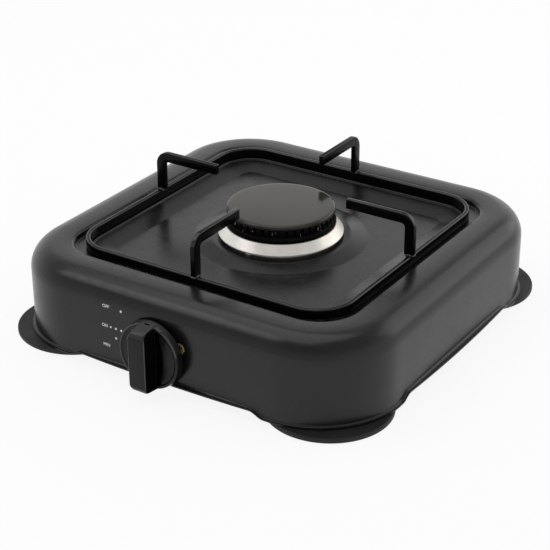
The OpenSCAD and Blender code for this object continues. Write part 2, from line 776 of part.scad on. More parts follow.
// Coil between the collar and the plug: a wire swept along a helix.
module tap_spring() color([0.75, 0.75, 0.78]) on_axis() {
    y0 = collar_y + collar_t + spring_wire / 2 + 0.1;
    y1 = plug_y - spring_wire / 2 - 0.1;
    steps = 20;
    sides = 8;
    n = round(spring_turns * steps);
    points = [for (i = [0 : n], k = [0 : sides - 1])
        let (a = 360 * i / steps, b = 360 * k / sides, r = spring_r + spring_wire / 2 * cos(b))
        [tap_x + r * cos(a), y0 + (y1 - y0) * i / n + spring_wire / 2 * sin(b), tap_z + r * sin(a)]];
    faces = concat(
        [[for (k = [0 : sides - 1]) k]],
        [for (i = [0 : n - 1], k = [0 : sides - 1]) [
            i * sides + k, (i + 1) * sides + k,
            (i + 1) * sides + (k + 1) % sides, i * sides + (k + 1) % sides
        ]],
        [[for (k = [sides - 1 : -1 : 0]) n * sides + k]]
    );
    polyhedron(points, faces, convexity = 8);
}

// Oval outline of the tap's flange and cover.
module tap_oval() {
    for (s = [-1, 1]) translate([s * tap_screw_gap / 2, 0]) circle(ear_r);
    circle(tap_r);
    square([tap_screw_gap, 2 * ear_r], center = true);
}

// Tap body: flange, spring chamber, tapered seat, side boss and screw lug.
module tap_body()
    color([0.72, 0.7, 0.66]) on_axis() translate([tap_x, tap_y, tap_z]) rotate([-90, 0, 0]) {
    seat_len = plug_l + 2 * run_gap;
    l = tap_end - tap_y;
    side = port_y - tap_y;
    lug_x = bypass_x - tap_x;
    lug_z = bypass_z - tap_z;
    lug_r = 4.5;
    web = 6;
    difference() {
        union() {
            linear_extrude(flange_t) tap_oval();
            cylinder(r = tap_r, h = l);
            translate([0, 0, side]) rotate([0, 90, 0]) cylinder(r = boss_r, h = boss_x - tap_x);
            translate([lug_x, -lug_z, flange_t]) cylinder(r = lug_r, h = lug_l);
            translate([0, -lug_z - web / 2, flange_t]) cube([lug_x, web, lug_l]);
        }
        translate([0, 0, -1]) cylinder(r = chamber_r, h = chamber_l + 1);
        translate([0, 0, chamber_l - e])
            cylinder(r1 = plug_r1 + run_gap, r2 = plug_r2 + run_gap, h = seat_len);
        cylinder(r = outlet_r, h = l + 1);
        translate([0, 0, side]) rotate([0, 90, 0]) cylinder(r = inlet_r, h = boss_x - tap_x + 1);
        for (s = [-1, 1]) translate([s * tap_screw_gap / 2, 0, -1])
            cylinder(r = m4 + sit_gap, h = flange_t + 2);
        translate([lug_x, -lug_z, 0]) cylinder(r = bypass_r + sit_gap, h = flange_t + lug_l - 1);
    }
}

module tap_cover() color([0.6, 0.6, 0.62]) on_axis() translate([tap_x, cover_y, tap_z]) rotate([-90, 0, 0]) {
    difference() {
        linear_extrude(cover_t) tap_oval();
        translate([0, 0, -1]) cylinder(r = spindle_r + run_gap, h = cover_t + 2);
        for (s = [-1, 1]) translate([s * tap_screw_gap / 2, 0, -1])
            cylinder(r = m4 + sit_gap, h = cover_t + 2);
    }
}

module tap_screws() color([0.7, 0.7, 0.72]) on_axis() {
    top_r = 3.2;
    top_h = 1.4;
    slot_l = 4.8;
    slot_w = 0.8;
    for (s = [-1, 1]) translate([tap_x + s * tap_screw_gap / 2, panel_y, tap_z]) rotate([-90, 0, 0]) {
        translate([0, 0, -top_h]) difference() {
            cylinder(r = top_r, h = top_h);
            translate([-slot_l / 2, -slot_w / 2, -top_h / 2]) cube([slot_l, slot_w, top_h]);
        }
        translate([0, 0, -0.2]) cylinder(r = m4, h = sheet_t + cover_t + flange_t + 1.2);
    }
}

module bypass_screw() color([0.85, 0.68, 0.3]) on_axis()
    translate([bypass_x, tap_y + flange_t - bypass_head, bypass_z]) rotate([-90, 0, 0]) {
        difference() {
            cylinder(r = bypass_r + 0.7, h = bypass_head);
            translate([-3, -0.3, -1]) cube([6, 0.6, 1.7]);
        }
        translate([0, 0, 1]) cylinder(r = bypass_r, h = bypass_head + lug_l - 2.5);
    }

module panel_eyelet() color([0.9, 0.7, 0.3]) on_axis()
    translate([bypass_x, panel_y, bypass_z]) rotate([90, 0, 0]) {
        difference() {
            union() {
                cylinder(r = eyelet_r, h = eyelet_t);
                translate([0, 0, -sheet_t - 0.6])
                    cylinder(r = eyelet_in + eyelet_wall, h = sheet_t + 0.6 + e);
            }
            translate([0, 0, -5]) cylinder(r = eyelet_in, h = 10);
        }
    }

module injector() color([0.85, 0.68, 0.3]) on_axis() {
    hex_h = 5;
    nose_l = 4.5;
    jet_r = 0.4;
    translate([tap_x, tap_end, tap_z]) rotate([-90, 0, 0]) difference() {
        union() {
            translate([0, 0, -4]) cylinder(r = outlet_r - sit_gap, h = 5);
            cylinder(d = 9 / cos(30), h = hex_h, $fn = 6);
            translate([0, 0, hex_h - 0.5]) cylinder(r1 = 4, r2 = 2, h = nose_l);
        }
        translate([0, 0, -5]) cylinder(r = 1.5, h = hex_h + 7);
        cylinder(r = jet_r, h = hex_h + nose_l, $fn = 24);
    }
}

module tube_nut() color([0.85, 0.68, 0.3]) on_axis() {
    translate([boss_x - nut_grip, port_y, tap_z]) rotate([0, 90, 0]) difference() {
        cylinder(d = nut_af / cos(30), h = nut_l, $fn = 6);
        translate([0, 0, -1]) cylinder(r = boss_r + sit_gap, h = nut_grip + 1.2);
        cylinder(r = tube_r + sit_gap, h = nut_l + 1);
    }
}

module tube_stretch(l) {
    difference() {
        cylinder(r = tube_r, h = l);
        translate([0, 0, -1]) cylinder(r = tube_r - tube_wall, h = l + 2);
    }
}

module gas_tube() color([0.72, 0.72, 0.74]) on_axis() {
    bend_x = line_x - tube_bend;
    bend_y = port_y + tube_bend;
    translate([boss_x + 0.3, port_y, tap_z]) rotate([0, 90, 0]) tube_stretch(bend_x - boss_x - 0.3);
    translate([bend_x, bend_y, tap_z]) rotate([0, 0, -90]) rotate_extrude(angle = 90)
        translate([tube_bend, 0]) difference() {
            circle(tube_r);
            circle(tube_r - tube_wall);
        }
    translate([line_x, bend_y, tap_z]) rotate([-90, 0, 0]) tube_stretch(line_end - bend_y);
}

// Strap that hangs the gas tube from the floor of the well.
module tube_bracket() color([0.55, 0.56, 0.58]) on_axis() translate([line_x, strap_y, 0]) {
    w = 12;
    foot_l = 14;
    strap_t = 1.2;
    top = floor_z - sheet_t;
    hold_r = tube_r + sit_gap;
    strap_r = hold_r + strap_t;
    rotate([90, 0, 0]) linear_extrude(w, center = true) {
        translate([0, tap_z]) difference() {
            circle(strap_r);
            circle(hold_r);
            translate([-strap_r, -strap_r]) square(strap_r);
        }
        translate([hold_r, tap_z]) square([strap_t, top - tap_z]);
        translate([hold_r, top - strap_t]) square([foot_l, strap_t]);
    }
}

// Angle bracket below the rim that carries the hose nozzle.
module inlet_bracket() color([0.55, 0.56, 0.58]) on_axis() {
    w = 24;
    flange_l = 9;
    top = rim_z - sheet_t;
    low = tap_z - inlet_screw_r - 5;
    difference() {
        union() {
            translate([line_x - w / 2, bracket_y, low]) cube([w, bracket_t, top - low]);
            translate([line_x - w / 2, bracket_y, top - bracket_t]) cube([w, flange_l, bracket_t]);
        }
        translate([line_x, bracket_y, tap_z]) rotate([90, 0, 0])
            cylinder(r = inlet_screw_r + sit_gap, h = 4 * bracket_t, center = true);
    }
}

module inlet_nut() color([0.85, 0.68, 0.3]) on_axis() translate([line_x, bracket_y - inlet_nut_l, tap_z])
    rotate([-90, 0, 0]) hex_nut(hex_af, inlet_nut_l, inlet_screw_r + sit_gap);

module hose_nozzle() color([0.85, 0.68, 0.3]) on_axis() translate([line_x, 0, tap_z]) rotate([-90, 0, 0]) {
    root_r = nozzle_d / 2;
    hex_y = bracket_y + bracket_t;
    socket_y = line_end - 6;
    difference() {
        union() {
            translate([0, 0, socket_y]) cylinder(r = inlet_screw_r, h = hex_y - socket_y + 0.5);
            translate([0, 0, hex_y]) cylinder(d = hex_af / cos(30), h = hex_l, $fn = 6);
            translate([0, 0, ridges_y - 2]) cylinder(r = root_r, h = nozzle_tip - ridges_y + 2);
            for (i = [0 : ridge_count - 1]) translate([0, 0, ridges_y + i * ridge_pitch])
                cylinder(r1 = ridge_d / 2, r2 = root_r, h = ridge_pitch - 1);
        }
        translate([0, 0, socket_y - 1]) cylinder(r = tube_r + sit_gap, h = line_end - socket_y + 1.2);
        translate([0, 0, socket_y]) cylinder(r = inlet_r, h = nozzle_tip - socket_y + 1);
    }
}

body_shell();
well_tray();
corner_plates();
foot_front_left();
foot_front_right();
foot_back_left();
foot_back_right();
foot_screws();
foot_nuts();
pan_ring();
pan_arm_front();
pan_arm_right();
pan_arm_back();
pan_arm_left();
burner_base();
burner_elbow();
burner_screws();
mixing_tube();
burner_crown();
burner_cap();
knob();
knob_ring();
spindle();
spindle_pin();
tap_plug();
tap_spring();
tap_body();
tap_cover();
tap_screws();
bypass_screw();
panel_eyelet();
injector();
tube_nut();
gas_tube();
tube_bracket();
inlet_bracket();
inlet_nut();
hose_nozzle();
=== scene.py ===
import json
from math import atan2, cos, hypot, pi, radians, sin, sqrt, tan

import bmesh
import bpy
from mathutils import Matrix, Vector


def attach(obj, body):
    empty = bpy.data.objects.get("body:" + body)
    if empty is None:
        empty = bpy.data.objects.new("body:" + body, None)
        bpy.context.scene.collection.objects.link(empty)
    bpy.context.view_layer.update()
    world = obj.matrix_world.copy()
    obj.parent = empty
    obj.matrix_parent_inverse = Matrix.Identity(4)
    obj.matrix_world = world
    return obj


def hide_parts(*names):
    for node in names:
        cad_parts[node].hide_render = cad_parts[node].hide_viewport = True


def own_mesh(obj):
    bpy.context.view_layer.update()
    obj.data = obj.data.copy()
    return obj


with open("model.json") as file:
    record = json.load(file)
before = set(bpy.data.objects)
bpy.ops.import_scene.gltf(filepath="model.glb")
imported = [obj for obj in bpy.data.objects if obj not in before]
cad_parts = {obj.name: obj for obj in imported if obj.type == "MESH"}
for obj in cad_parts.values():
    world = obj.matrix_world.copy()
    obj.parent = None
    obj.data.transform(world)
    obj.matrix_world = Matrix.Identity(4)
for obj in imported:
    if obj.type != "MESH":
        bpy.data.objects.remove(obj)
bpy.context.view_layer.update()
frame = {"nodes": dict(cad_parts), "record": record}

# Lengths are in millimetres, with x and y from the burner axis and z from the table, as in
# the CAD source. Heights of grain, lettering depths, the studio and the camera are in metres.
MM = 0.001
AXIS_Y = 8.25
TO_PART = Matrix.Translation((0, AXIS_Y * MM, 0)) @ Matrix.Scale(MM, 4)

# Shell: half widths of its rounded squares, centres of their corner arcs, and heights.
SHEET = 1.0
LIP_HALF, HALF, OPENING_HALF, LEDGE_HALF = 139.5, 137.5, 107.5, 98.0
FLOOR_HALF, FLOOR_END = 82.5, 79.5
CORNER, WELL_CORNER = 80.5, 74.4
WALL_Z, RIM_Z, LEDGE_Z, STEP_Z, SEAT_Z, FLOOR_Z = 16.0, 62.5, 58.0, 56.8, 56.0, 53.5

# Raised burner seat: radii of its hole, top, foot and first round row, and its bends.
SEAT_HOLE, SEAT_TOP_R, SEAT_FOOT_R, ROUND_R, SEAT_BEND = 35.0, 48.0, 60.0, 70.0, 9.0

# Bottom edge: raised between the corner legs. The lip bows out along each side.
FOOT_T, EDGE_RISE, EDGE_HALF, LEG_START, LIP_BOW = 3.5, 3.5, 66.0, 76.0, 1.8

# Length of the cutters through the walls, the lip's relief round the knob's skirt, and the
# hose slot in the rear wall.
PUNCH = 8
RELIEF, RELIEF_Y = 0.2, -HALF - 4.7
SLOT_X, SLOT_R, SLOT_LOW = 48, 13, -5

# The tap's axis and its holes in the front wall, as (radius, x, z, segments) from that
# axis: for the spindle, two screws and the eyelet.
TAP_X, TAP_Z = -5.5, 26.7
TAP_HOLES = ((5, 0, 0, 64), (2.2, -13.5, 0, 32), (2.2, 13.5, 0, 32), (3.15, 18.6, 7.2, 48))

# Knob: places along y and outer radius, grip bar, finger pockets, pointer notch and bore.
KNOB_BACK, KNOB_FACE, GRIP_FACE, KNOB_R = -140.5, -146.1, -158.1, 23.3
GRIP_HALF_W, GRIP_HALF_L, GRIP_NOSE = 6.5, 21.9, 5.6
POCKET_W, POCKET_HALF_L, POCKET_IN, POCKET_DEPTH = 5.4, 20.0, 6.49, 2.6
NOTCH_LOW, NOTCH_HIGH, NOTCH_HALF_W, NOTCH_DEPTH = 20.5, 23.4, 2.6, 1.2
BORE_R, BORE_L, BORE_Y = 4.15, 12, KNOB_BACK - 5
PROUD = 0.05             # how far a cutter stands out of the knob's face

MERGE = 0.0005           # vertices closer than this become one
SHARP = 35.0             # degrees from which an edge is shaded as sharp


# ---------------------------------------------------------------- materials

def add_node(tree, kind, values=None, links=None, **settings):
    """Adds a shader node: its settings, then its inputs' values, then links to its inputs."""
    node = tree.nodes.new(kind)
    for key, value in settings.items():
        setattr(node, key, value)
    for key, value in (values or {}).items():
        node.inputs[key].default_value = value
    for key, source in (links or {}).items():
        tree.links.new(source, node.inputs[key])
    return node


def new_material(name, colour, rough, metallic=0.0, specular=0.5):
    """Principled material with its own node tree; returns (material, tree, shader)."""
    mat = bpy.data.materials.new(name)
    mat.use_nodes = True
    mat.diffuse_color = (*colour, 1)
    shader = mat.node_tree.nodes["Principled BSDF"]
    shader.inputs["Base Color"].default_value = (*colour, 1)
    shader.inputs["Roughness"].default_value = rough
    shader.inputs["Metallic"].default_value = metallic
    shader.inputs["Specular IOR Level"].default_value = specular
    return mat, mat.node_tree, shader


def object_coords(tree, offset=(0, 0, 0)):
    coords = add_node(tree, "ShaderNodeTexCoord").outputs["Object"]
    return add_node(tree, "ShaderNodeMapping", {"Location": offset},
                    {"Vector": coords}).outputs["Vector"]


def noise(tree, vector, scale, detail):
    values = {"Scale": scale, "Detail": detail, "Roughness": 0.5}
    return add_node(tree, "ShaderNodeTexNoise", values, {"Vector": vector}).outputs["Fac"]


def remap(tree, value, low, high, from_low=0.3, from_high=0.7):
    values = {"From Min": from_low, "From Max": from_high, "To Min": low, "To Max": high}
    return add_node(tree, "ShaderNodeMapRange", values, {"Value": value}).outputs["Result"]


def blend_colours(tree, factor, one, two):
    values = {"A": (*one, 1), "B": (*two, 1)}
    return add_node(tree, "ShaderNodeMix", values, {"Factor": factor},
                    data_type="RGBA").outputs["Result"]


def bump(tree, shader, height, strength, distance):
    node = add_node(tree, "ShaderNodeBump", {"Strength": strength, "Distance": distance},
                    {"Height": height})
    tree.links.new(node.outputs["Normal"], shader.inputs["Normal"])


def shade(colour, factor):
    return tuple(min(1.0, v * factor) for v in colour)


def uneven(tree, shader, at, colour, spread, cloud_scale, rough_scale, rough_range):
    """Gives a shader a cloudy colour and a roughness that varies within a range."""
    cloud = remap(tree, noise(tree, at, cloud_scale, 4.0), 0, 1)
    tree.links.new(
        blend_colours(tree, cloud, shade(colour, 1 - spread), shade(colour, 1 + spread)),
        shader.inputs["Base Color"])
    tree.links.new(remap(tree, noise(tree, at, rough_scale, 3.0), *rough_range),
                   shader.inputs["Roughness"])


def grained(name, colour, rough, metallic=0.0, spread=0.12, rough_spread=0.06,
            scale=260.0, height=0.00004, strength=0.25, specular=0.5):
    """Material with cloudy colour, uneven roughness and a fine grain."""
    mat, tree, shader = new_material(name, colour, rough, metallic, specular)
    at = object_coords(tree)
    uneven(tree, shader, at, colour, spread, scale / 12, scale / 5,
           (rough - rough_spread, rough + rough_spread))
    bump(tree, shader, noise(tree, at, scale * 4, 2.0), strength, height)
    return mat


def turned(name, colour, rough, centre, turn=(0, 0, 0), metallic=1.0):
    """Metal with fine lathe rings round the axis through centre."""
    pitch, scale_times_pitch = 0.0005, 0.314
    mat, tree, shader = new_material(name, colour, rough, metallic)
    moved = object_coords(tree, tuple(-v * MM for v in centre))
    at = add_node(tree, "ShaderNodeMapping", {"Rotation": turn},
                  {"Vector": moved}).outputs["Vector"]
    uneven(tree, shader, at, colour, 0.1, 90, 240, (rough * 0.8, rough * 1.25))
    rings = add_node(
        tree, "ShaderNodeTexWave",
        {"Scale": scale_times_pitch / pitch, "Distortion": 1.5, "Detail": 2.0},
        {"Vector": at}, wave_type="RINGS", rings_direction="Z")
    bump(tree, shader, rings.outputs["Fac"], 0.2, 0.00003)
    return mat


TAP_AXIS = {"centre": (TAP_X, AXIS_Y, TAP_Z), "turn": (radians(90), 0, 0)}

# One material for each slot of the record: its maker and what that is given.
LOOKS = {
    "shell_paint": (grained, dict(
        colour=(0.0062, 0.0059, 0.0062), rough=0.26, rough_spread=0.03, scale=520,
        height=0.00002, strength=0.1, specular=0.36)),
    "zinc_steel": (grained, dict(
        colour=(0.55, 0.56, 0.58), rough=0.38, metallic=0.9, spread=0.1, scale=500)),
    "foot_rubber": (grained, dict(
        colour=(0.015, 0.015, 0.0155), rough=0.6, spread=0.15, rough_spread=0.08, scale=300,
        height=0.00006, strength=0.3, specular=0.3)),
    "plated_screws": (grained, dict(
        colour=(0.7, 0.7, 0.72), rough=0.28, metallic=1.0, spread=0.06)),
    "black_enamel": (grained, dict(
        colour=(0.002, 0.002, 0.0021), rough=0.22, spread=0.2, scale=600, strength=0.2,
        specular=0.1)),
    "burner_aluminium": (turned, dict(
        colour=(0.95, 0.89, 0.83), rough=0.36, centre=(0, AXIS_Y, 0), metallic=0.45)),
    "tube_aluminium": (grained, dict(
        colour=(0.62, 0.63, 0.65), rough=0.42, metallic=1.0, scale=420, height=0.00008,
        strength=0.35)),
    "crown_black": (grained, dict(
        colour=(0.0018, 0.0018, 0.0018), rough=0.3, spread=0.3, rough_spread=0.1, scale=900,
        height=0.00012, strength=0.6, specular=0.05)),
    "cap_enamel": (grained, dict(
        colour=(0.026, 0.0235, 0.0175), rough=0.12, spread=0.15, rough_spread=0.03, scale=160,
        height=0.00003, strength=0.06, specular=0.3)),
    "knob_plastic": (grained, dict(
        colour=(0.0065, 0.0065, 0.0067), rough=0.26, spread=0.08, rough_spread=0.04, scale=800,
        height=0.00002, strength=0.15, specular=0.2)),
    "spindle_steel": (turned, dict(colour=(0.6, 0.6, 0.62), rough=0.3, **TAP_AXIS)),
    "tap_brass": (turned, dict(colour=(0.78, 0.58, 0.27), rough=0.3, **TAP_AXIS)),
    "spring_steel": (grained, dict(colour=(0.5, 0.5, 0.52), rough=0.25, metallic=1.0)),
    "tap_zinc": (grained, dict(
        colour=(0.6, 0.6, 0.6), rough=0.5, metallic=0.9, spread=0.15, scale=400,
        height=0.0001, strength=0.4)),
    "eyelet_brass": (grained, dict(
        colour=(0.95, 0.66, 0.28), rough=0.28, metallic=0.7, spread=0.05)),
    "gas_steel": (grained, dict(colour=(0.6, 0.61, 0.63), rough=0.35, metallic=1.0)),
}
MATERIALS = {slot: make(slot, **look) for slot, (make, look) in LOOKS.items()}


# ------------------------------------------------------------------ meshes

def add_object(name, data):
    obj = bpy.data.objects.new(name, data)
    bpy.context.scene.collection.objects.link(obj)
    return obj


def part_mesh(name, bm):
    """Mesh in the part's frame from a closed bmesh in the lengths above, which is freed."""
    bmesh.ops.recalc_face_normals(bm, faces=bm.faces)
    mesh = bpy.data.meshes.new(name)
    bm.to_mesh(mesh)
    bm.free()
    mesh.transform(TO_PART)
    return mesh


def finish_mesh(name, bm, body, slot, replaces=(), sharp=SHARP, material=None):
    """Turns a bmesh into a piece on a body, in its slot's material unless another is given."""
    bmesh.ops.remove_doubles(bm, verts=bm.verts, dist=MERGE)
    mesh = part_mesh(name, bm)
    obj = add_object(name, mesh)
    mesh.materials.append(material or MATERIALS[slot])
    mesh.shade_smooth()
    mesh.set_sharp_from_angle(angle=radians(sharp))
    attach(obj, body)
    if replaces:
        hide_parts(*replaces)
    return obj


def rotate(bm, verts, angle, axis):
    bmesh.ops.rotate(bm, verts=verts, matrix=Matrix.Rotation(angle, 3, axis))


def fillet(corners, steps=5):
    """Rounds a polyline of (u, z, radius, corner centre) and keeps the centres.

    Radii over 8 mm get twice the steps.
    """
    out = []
    for i, (u, z, r, c) in enumerate(corners):
        if r <= 0 or i in (0, len(corners) - 1):
            out.append((u, z, c))
            continue
        p = Vector((u, z))
        a = (Vector(corners[i - 1][:2]) - p).normalized()
        b = (Vector(corners[i + 1][:2]) - p).normalized()
        bend = a.angle(b) / 2
        reach = r / tan(bend)
        centre = p + (a + b).normalized() * (r / sin(bend))
        v0, v1 = p + a * reach - centre, p + b * reach - centre
        phi = v0.angle(v1)
        n = max(2, steps * (2 if r > 8 else 1))
        for k in range(n + 1):
            t = k / n
            q = centre + (v0 * sin((1 - t) * phi) + v1 * sin(t * phi)) / sin(phi)
            out.append((q.x, q.y, c))
    return out


def loft(rows, columns, point):
    """Faces between the rows, which close on themselves both ways round."""
    bm = bmesh.new()
    grid = [[bm.verts.new(point(c, r)) for c in columns] for r in rows]
    for i in range(len(rows)):
        a, b = grid[i], grid[(i + 1) % len(rows)]
        for j in range(len(columns)):
            k = (j + 1) % len(columns)
            bm.faces.new((a[j], a[k], b[k], b[j]))
    return bm


def bridge(bm, loops):
    """Faces between closed loops of vertices, open at both ends."""
    for a, b in zip(loops, loops[1:]):
        for k in range(len(a)):
            m = (k + 1) % len(a)
            bm.faces.new((a[k], a[m], b[m], b[k]))


def spin(profile, steps=160):
    """Solid turned about Z from a profile of (radius, z) that starts and ends at radius 0."""
    bm = bmesh.new()
    rings = []
    for r, z in profile:
        if r == 0:
            rings.append([bm.verts.new((0, 0, z))])
            continue
        angles = [2 * pi * k / steps for k in range(steps)]
        rings.append([bm.verts.new((r * cos(a), r * sin(a), z)) for a in angles])
    for a, b in zip(rings, rings[1:]):
        for k in range(steps):
            m = (k + 1) % steps
            quad = [a[k % len(a)], a[m % len(a)], b[m % len(b)], b[k % len(b)]]
            bm.faces.new(list(dict.fromkeys(quad)))
    return bm


def prism(outline, y0, y1):
    """Solid between two depths from an outline of (x, z) points."""
    bm = bmesh.new()
    near = [bm.verts.new((x, y0, z)) for x, z in outline]
    far = [bm.verts.new((x, y1, z)) for x, z in outline]
    bm.faces.new(near)
    bm.faces.new(list(reversed(far)))
    for i in range(len(outline)):
        j = (i + 1) % len(outline)
        bm.faces.new((near[j], near[i], far[i], far[j]))
    return bm


def cutter(radius, length, centre, segments=64):
    """Cylinder along y, for a hole."""
    bm = bmesh.new()
    bmesh.ops.create_cone(bm, cap_ends=True, segments=segments, radius1=radius,
                          radius2=radius, depth=length)
    rotate(bm, bm.verts, radians(90), "X")
    bmesh.ops.translate(bm, verts=bm.verts, vec=centre)
    return bm


def box(low, high):
    bm = bmesh.new()
    bmesh.ops.create_cube(bm, size=1)
    bmesh.ops.scale(bm, vec=[h - l for l, h in zip(low, high)], verts=bm.verts)
    bmesh.ops.translate(bm, vec=[(h + l) / 2 for l, h in zip(low, high)], verts=bm.verts)
    return bm


def cut(obj, cutters, operation="DIFFERENCE"):
    """Cuts each bmesh out of obj, or joins it, and applies the result."""
    for bm in cutters:
        tool = add_object("cutter", part_mesh("cutter", bm))
        mod = obj.modifiers.new("cut", "BOOLEAN")
        mod.operation, mod.solver, mod.object = operation, "EXACT", tool
        graph = bpy.context.evaluated_depsgraph_get()
        made = bpy.data.meshes.new_from_object(obj.evaluated_get(graph))
        obj.modifiers.remove(mod)
        old = obj.data
        obj.data = made
        bpy.data.meshes.remove(old)
        bpy.data.objects.remove(tool)
    obj.data.shade_smooth()
    obj.data.set_sharp_from_angle(angle=radians(SHARP))


# --------------------------------------------------------- rounded squares

def square_columns(stations, arc_steps):
    """Columns round a rounded square: stations along each side, then the corner's arc."""
    columns = []
    for side in range(4):
        columns += [(side, "side", s) for s in stations]
        columns += [(side, "arc", radians(-90 + 90 * k / arc_steps)) for k in range(arc_steps)]
    return columns


def loop_point(column, u, c):
    """Point of a rounded square of half width u with corner centres at c."""
    side, kind, value = column
    if kind == "side":
        x, y = value * c / CORNER, -u
    else:
        x, y = c + (u - c) * cos(value), -c + (u - c) * sin(value)
    for _ in range(side):
        x, y = -y, x
    return x, y


# ------------------------------------------------------------------- shell

def edge_height(s):
    """Height of the shell's bottom edge at distance s from a side's middle."""
    s = abs(s)
    if s <= EDGE_HALF:
        return FOOT_T + EDGE_RISE
    if s >= LEG_START:
        return FOOT_T
    return FOOT_T + EDGE_RISE * (1 + cos(pi * (s - EDGE_HALF) / (LEG_START - EDGE_HALF))) / 2


def shell_stations():
    """Places along a side: even in the middle, closer where the edge dips to a leg."""
    steps = 6
    middle = [EDGE_HALF * i / steps for i in range(1 - steps, steps)]
    ramp = [EDGE_HALF + i * (LEG_START - EDGE_HALF) / steps for i in range(steps + 1)]
    return [-CORNER] + [-s for s in reversed(ramp)] + middle + ramp


def sheet_side(square, circle):
    """Rows of one side of the sheet, from the lip to the hole in the burner seat."""
    return ([("square", *p) for p in fillet(square)]
            + [("circle", *p) for p in fillet(circle)])


def seat(drop, shrink):
    """Corners of the raised burner seat, on the sheet's outside or drop below it."""
    return [(ROUND_R, FLOOR_Z - drop, 0, 0), (SEAT_FOOT_R - shrink, FLOOR_Z - drop, SEAT_BEND, 0),
            (SEAT_TOP_R - shrink, SEAT_Z - drop, SEAT_BEND, 0), (SEAT_HOLE, SEAT_Z - drop, 0, 0)]


def shell_rows():
    """Rows of the closed shell: outside from lip to burner seat, then inside back."""
    outer = [
        (LIP_HALF, FOOT_T + SHEET, 0, CORNER), (HALF, FOOT_T + SHEET, 1.4, CORNER),
        (HALF, WALL_Z, 0, CORNER), (HALF, RIM_Z, 16, CORNER),
        (OPENING_HALF, RIM_Z, 2.5, CORNER), (OPENING_HALF, LEDGE_Z, 1.0, CORNER),
        (LEDGE_HALF, LEDGE_Z, 0.9, WELL_CORNER), (LEDGE_HALF, STEP_Z, 0.5, WELL_CORNER),
        (FLOOR_HALF, FLOOR_Z, 4, WELL_CORNER), (FLOOR_END, FLOOR_Z, 0, WELL_CORNER)]
    inner = [
        (LIP_HALF, FOOT_T, 0, CORNER), (HALF - SHEET, FOOT_T, 2.4, CORNER),
        (HALF - SHEET, WALL_Z, 0, CORNER), (HALF - SHEET, RIM_Z - SHEET, 15, CORNER),
        (OPENING_HALF + SHEET, RIM_Z - SHEET, 1.5, CORNER),
        (OPENING_HALF + SHEET, LEDGE_Z - SHEET, 2.0, CORNER),
        (LEDGE_HALF + SHEET, LEDGE_Z - SHEET, 0.3, WELL_CORNER),
        (LEDGE_HALF + 0.6, STEP_Z - 0.9, 0.3, WELL_CORNER),
        (FLOOR_HALF, FLOOR_Z - SHEET, 12, WELL_CORNER),
        (FLOOR_END, FLOOR_Z - SHEET, 0, WELL_CORNER)]
    inside = sheet_side(inner, seat(SHEET, 0.2))
    return sheet_side(outer, seat(0, 0)) + list(reversed(inside))


def shell_point(column, row):
    """Point of the shell. Below WALL_Z the rows follow the bottom edge and the bowed lip."""
    kind, u, z, c = row
    if kind == "circle":
        x, y = loop_point(column, FLOOR_HALF, WELL_CORNER)
        a = atan2(y, x)
        return u * cos(a), u * sin(a), z
    _, where, value = column
    s = value if where == "side" else CORNER
    if z < WALL_Z and c == CORNER:
        z += edge_height(s) - FOOT_T
        if u > HALF and abs(s) < EDGE_HALF:
            u += LIP_BOW * (1 - (s / EDGE_HALF) ** 2) * (u - HALF) / (LIP_HALF - HALF)
    return *loop_point(column, u, c), z


shell = finish_mesh(
    "shell", loft(shell_rows(), square_columns(shell_stations(), 20), shell_point),
    "base", "shell_paint", ["body_shell", "well_tray"])
cut(shell, [
    cutter(KNOB_R + RELIEF, PUNCH, (TAP_X, RELIEF_Y, TAP_Z), 96),
    *(cutter(r, PUNCH, (TAP_X + x, -HALF, TAP_Z + z), segments)
      for r, x, z, segments in TAP_HOLES),
    cutter(SLOT_R, 2 * PUNCH, (SLOT_X, HALF, TAP_Z)),
    box((SLOT_X - SLOT_R, HALF - PUNCH, SLOT_LOW), (SLOT_X + SLOT_R, HALF + PUNCH, TAP_Z)),
])


# ------------------------------------------------------------- pan support

def square_ring():
    """The support's ring: a flat bar on edge, bent round four corners."""
    out, thick, low, high, edge = 102.4, 3.2, 58.3, 65.5, 0.9
    middle = (out, (low + high) / 2, 0, 0)
    section = fillet([
        middle, (out, high, edge, 0), (out - thick, high, edge, 0),
        (out - thick, low, edge, 0), (out, low, edge, 0), middle], 3)[:-1]
    return loft(section, square_columns((-CORNER, 0), 24),
                lambda column, row: (*loop_point(column, row[0], WELL_CORNER), row[1]))


def arm(turn):
    """One arm: post, bend and flat run, with softened edges."""
    wide, thick = 7.2, 3.4
    post_out, tip, top, foot = 103.6, 52.0, 94.4, 65.4
    r_out = 10.0
    r_in = r_out - wide
    cx, cz = post_out - r_out, top - r_out
    quarter = [90 * k / 12 for k in range(13)]
    outline = [(post_out, foot)]
    outline += [(cx + r_out * cos(radians(a)), cz + r_out * sin(radians(a))) for a in quarter]
    outline += [(tip, top), (tip, top - wide)]
    outline += [(cx + r_in * cos(radians(90 - a)), cz + r_in * sin(radians(90 - a)))
                for a in quarter]
    outline += [(post_out - wide, foot)]
    bm = prism(outline, -thick / 2, thick / 2)
    bm.normal_update()
    edges = [e for e in bm.edges if e.calc_face_angle(0) > radians(40)]
    bmesh.ops.bevel(bm, geom=edges, offset=0.55, segments=3, profile=0.5, affect="EDGES")
    rotate(bm, bm.verts, radians(turn), "Z")
    return bm


# Weld on the inner and outer side of a post and on both its flanks, as x, y, z, half sizes.
BEADS = ((98.4, 0, 65.2, (1.5, 2.6, 1.2)), (103.0, 0, 65.4, (1.2, 2.4, 0.9)),
         (100.8, 1.7, 65.6, (1.9, 0.9, 0.8)), (100.8, -1.7, 65.6, (1.9, 0.9, 0.8)))


